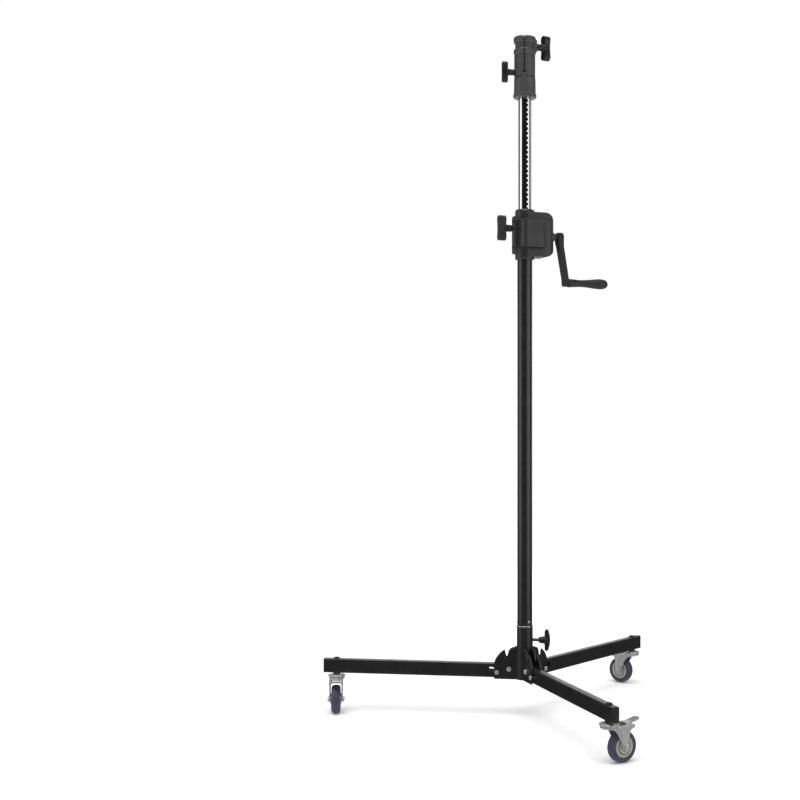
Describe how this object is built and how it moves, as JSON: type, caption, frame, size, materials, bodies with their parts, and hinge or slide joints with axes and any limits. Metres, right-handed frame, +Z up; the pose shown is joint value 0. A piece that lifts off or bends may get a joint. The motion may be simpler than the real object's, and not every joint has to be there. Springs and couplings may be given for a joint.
{
  "type": "crank lighting stand",
  "caption": "Rolling crank-up lighting stand: folding braked-caster base, column, gearbox with hand crank, chrome rack riser and spigot head.",
  "frame": {"origin": "on the floor under the wheels, at the middle of the stand's box", "axes": "+Z up along the column; the crank shaft and gearbox point to +X; one leg points to -Y"},
  "size_m": [0.9707, 0.8938, 1.8295],
  "materials": {
    "black_powder_coat": "satin black powder coat",
    "cast_grey": "dark grey painted die casting",
    "black_plastic": "moulded black plastic",
    "chrome": "bright chrome plating",
    "bright_zinc": "bright zinc plated pressed steel",
    "machined_steel": "machined steel",
    "brass": "machined brass",
    "nylon": "moulded nylon",
    "wheel_core": "moulded grey plastic",
    "tyre": "blue-grey elastomer tread"
  },
  "bodies": {
    "base": {"base_socket_tube": "black_powder_coat", "socket_ring": "chrome", "right_front_hub_plate": "black_powder_coat", "front_left_hub_plate": "black_powder_coat", "left_right_hub_plate": "black_powder_coat", "front_leg_pivot_bolt": "bright_zinc", "right_leg_pivot_bolt": "bright_zinc", "left_leg_pivot_bolt": "bright_zinc"},
    "base_clamp_knob": {"base_clamp_knob": "black_plastic"},
    "column": {"main_column": "black_powder_coat", "gear_housing": "cast_grey", "gear_cover": "cast_grey", "gear_cover_screw_1": "black_plastic", "gear_cover_screw_2": "black_plastic", "gear_cover_screw_3": "black_plastic", "gear_cover_screw_4": "black_plastic", "gear_cover_cap": "cast_grey", "riser_bushing": "nylon", "brake_pad_block": "cast_grey"},
    "brake_shoe": {"brake_shoe": "nylon"},
    "riser_brake_knob": {"riser_brake_knob": "black_plastic"},
    "pinion": {"pinion_shaft": "machined_steel", "driven_gear": "machined_steel"},
    "crank": {"crank_shaft": "black_powder_coat", "drive_gear": "brass", "crank_arm": "black_powder_coat"},
    "crank_grip": {"crank_grip": "black_plastic"},
    "riser": {"riser_tube": "chrome", "riser_foot_plug": "nylon", "head_body": "cast_grey"},
    "upper_head_knob": {"upper_head_knob": "black_plastic"},
    "lower_head_knob": {"lower_head_knob": "black_plastic"},
    "front_leg": {"front_leg_tube": "black_powder_coat", "front_leg_end_cap": "black_plastic", "front_caster_stem": "black_powder_coat"},
    "front_lock_pin": {"front_leg_lock_pin": "bright_zinc"},
    "front_caster": {"front_caster_fork": "bright_zinc", "front_caster_axle": "bright_zinc"},
    "front_wheel": {"front_wheel_core": "wheel_core", "front_tyre": "tyre"},
    "front_brake_pedal": {"front_brake_pedal": "bright_zinc"},
    "right_leg": {"right_leg_tube": "black_powder_coat", "right_leg_end_cap": "black_plastic", "right_caster_stem": "black_powder_coat"},
    "right_lock_pin": {"right_leg_lock_pin": "bright_zinc"},
    "right_caster": {"right_caster_fork": "bright_zinc", "right_caster_axle": "bright_zinc"},
    "right_wheel": {"right_wheel_core": "wheel_core", "right_tyre": "tyre"},
    "right_brake_pedal": {"right_brake_pedal": "bright_zinc"},
    "left_leg": {"left_leg_tube": "black_powder_coat", "left_leg_end_cap": "black_plastic", "left_caster_stem": "black_powder_coat"},
    "left_lock_pin": {"left_leg_lock_pin": "bright_zinc"},
    "left_caster": {"left_caster_fork": "bright_zinc", "left_caster_axle": "bright_zinc"},
    "left_wheel": {"left_wheel_core": "wheel_core", "left_tyre": "tyre"},
    "left_brake_pedal": {"left_brake_pedal": "bright_zinc"}
  },
  "joints": [
    {"name": "column_turn", "type": "hinge", "parent": "base", "child": "column", "pos_m": [0.0007, 0.1069, 0.238], "axis": [0, 0, 1], "range_deg": [-180, 180]},
    {"name": "base_clamp_knob_turn", "type": "hinge", "parent": "base", "child": "base_clamp_knob", "pos_m": [0.05266, 0.0769, 0.204], "axis": [0.866, -0.5, 0], "range_deg": [0, 360]},
    {"name": "riser_slide", "type": "slide", "parent": "column", "child": "riser", "axis": [0, 0, 1], "range_m": [-0.285, 0.66]},
    {"name": "pinion_turn", "type": "hinge", "parent": "column", "child": "pinion", "pos_m": [0.0007, 0.0794, 1.305], "axis": [1, 0, 0], "range_deg": [-1640, 3790]},
    {"name": "crank_turn", "type": "hinge", "parent": "column", "child": "crank", "pos_m": [0.0957, 0.09637, 1.284], "axis": [1, 0, 0], "range_deg": [-4735, 2050]},
    {"name": "crank_grip_spin", "type": "hinge", "parent": "crank", "child": "crank_grip", "pos_m": [0.1807, 0.09637, 1.162], "axis": [1, 0, 0], "continuous": true},
    {"name": "riser_brake_knob_turn", "type": "hinge", "parent": "column", "child": "riser_brake_knob", "pos_m": [-0.0593, 0.1069, 1.303], "axis": [-1, 0, 0], "range_deg": [0, 120]},
    {"name": "brake_shoe_slide", "type": "slide", "parent": "column", "child": "brake_shoe", "axis": [-1, 0, 0], "range_m": [0, 0.00045]},
    {"name": "upper_head_knob_turn", "type": "hinge", "parent": "riser", "child": "upper_head_knob", "pos_m": [0.0657, 0.11836, 1.796], "axis": [0.9848, 0.1736, 0], "range_deg": [0, 360]},
    {"name": "lower_head_knob_turn", "type": "hinge", "parent": "riser", "child": "lower_head_knob", "pos_m": [-0.05362, 0.1155, 1.721], "axis": [-0.9877, 0.1564, 0], "range_deg": [0, 360]},
    {"name": "front_leg_fold", "type": "hinge", "parent": "base", "child": "front_leg", "pos_m": [0.0007, 0.0659, 0.126], "axis": [-1, 0, 0], "range_deg": [0, 90]},
    {"name": "front_lock_pin_slide", "type": "slide", "parent": "front_leg", "child": "front_lock_pin", "axis": [0, -0.8321, 0.5547], "range_m": [0, 0.00185]},
    {"name": "front_caster_swivel", "type": "hinge", "parent": "front_leg", "child": "front_caster", "pos_m": [0.0007, -0.4121, 0.095], "axis": [0, 0, 1], "continuous": true},
    {"name": "front_wheel_spin", "type": "hinge", "parent": "front_caster", "child": "front_wheel", "pos_m": [0.03773, -0.40355, 0.0375], "axis": [-0.225, 0.9744, 0], "continuous": true},
    {"name": "front_brake_pedal_press", "type": "hinge", "parent": "front_caster", "child": "front_brake_pedal", "pos_m": [0.05332, -0.39995, 0.085], "axis": [-0.225, 0.9744, 0], "range_deg": [0, 10]},
    {"name": "right_leg_fold", "type": "hinge", "parent": "base", "child": "right_leg", "pos_m": [0.03621, 0.1274, 0.126], "axis": [0.5, -0.866, 0], "range_deg": [0, 90]},
    {"name": "right_lock_pin_slide", "type": "slide", "parent": "right_leg", "child": "right_lock_pin", "axis": [0.7206, 0.416, 0.5547], "range_m": [0, 0.00185]},
    {"name": "right_caster_swivel", "type": "hinge", "parent": "right_leg", "child": "right_caster", "pos_m": [0.45017, 0.3664, 0.095], "axis": [0, 0, 1], "continuous": true},
    {"name": "right_wheel_spin", "type": "hinge", "parent": "right_caster", "child": "right_wheel", "pos_m": [0.43117, 0.39931, 0.0375], "axis": [-0.866, -0.5, 0], "continuous": true},
    {"name": "right_brake_pedal_press", "type": "hinge", "parent": "right_caster", "child": "right_brake_pedal", "pos_m": [0.42317, 0.41317, 0.085], "axis": [-0.866, -0.5, 0], "range_deg": [0, 10]},
    {"name": "left_leg_fold", "type": "hinge", "parent": "base", "child": "left_leg", "pos_m": [-0.03481, 0.1274, 0.126], "axis": [0.5, 0.866, 0], "range_deg": [0, 90]},
    {"name": "left_lock_pin_slide", "type": "slide", "parent": "left_leg", "child": "left_lock_pin", "axis": [-0.7206, 0.416, 0.5547], "range_m": [0, 0.00185]},
    {"name": "left_caster_swivel", "type": "hinge", "parent": "left_leg", "child": "left_caster", "pos_m": [-0.44877, 0.3664, 0.095], "axis": [0, 0, 1], "continuous": true},
    {"name": "left_wheel_spin", "type": "hinge", "parent": "left_caster", "child": "left_wheel", "pos_m": [-0.45988, 0.33006, 0.0375], "axis": [0.9563, -0.2924, 0], "continuous": true},
    {"name": "left_brake_pedal_press", "type": "hinge", "parent": "left_caster", "child": "left_brake_pedal", "pos_m": [-0.46455, 0.31476, 0.085], "axis": [0.9563, -0.2924, 0], "range_deg": [0, 10]}
  ],
  "couplings": [
    {"joint": "pinion_turn", "follows": "riser_slide", "rad_per_m": 100},
    {"joint": "crank_turn", "follows": "riser_slide", "rad_per_m": -125},
    {"joint": "brake_shoe_slide", "follows": "riser_brake_knob_turn", "m_per_rad": 0.0002},
    {"joint": "front_lock_pin_slide", "follows": "front_leg_fold", "m_per_rad": 0.0011477},
    {"joint": "right_lock_pin_slide", "follows": "right_leg_fold", "m_per_rad": 0.0011477},
    {"joint": "left_lock_pin_slide", "follows": "left_leg_fold", "m_per_rad": 0.0011477}
  ]
}
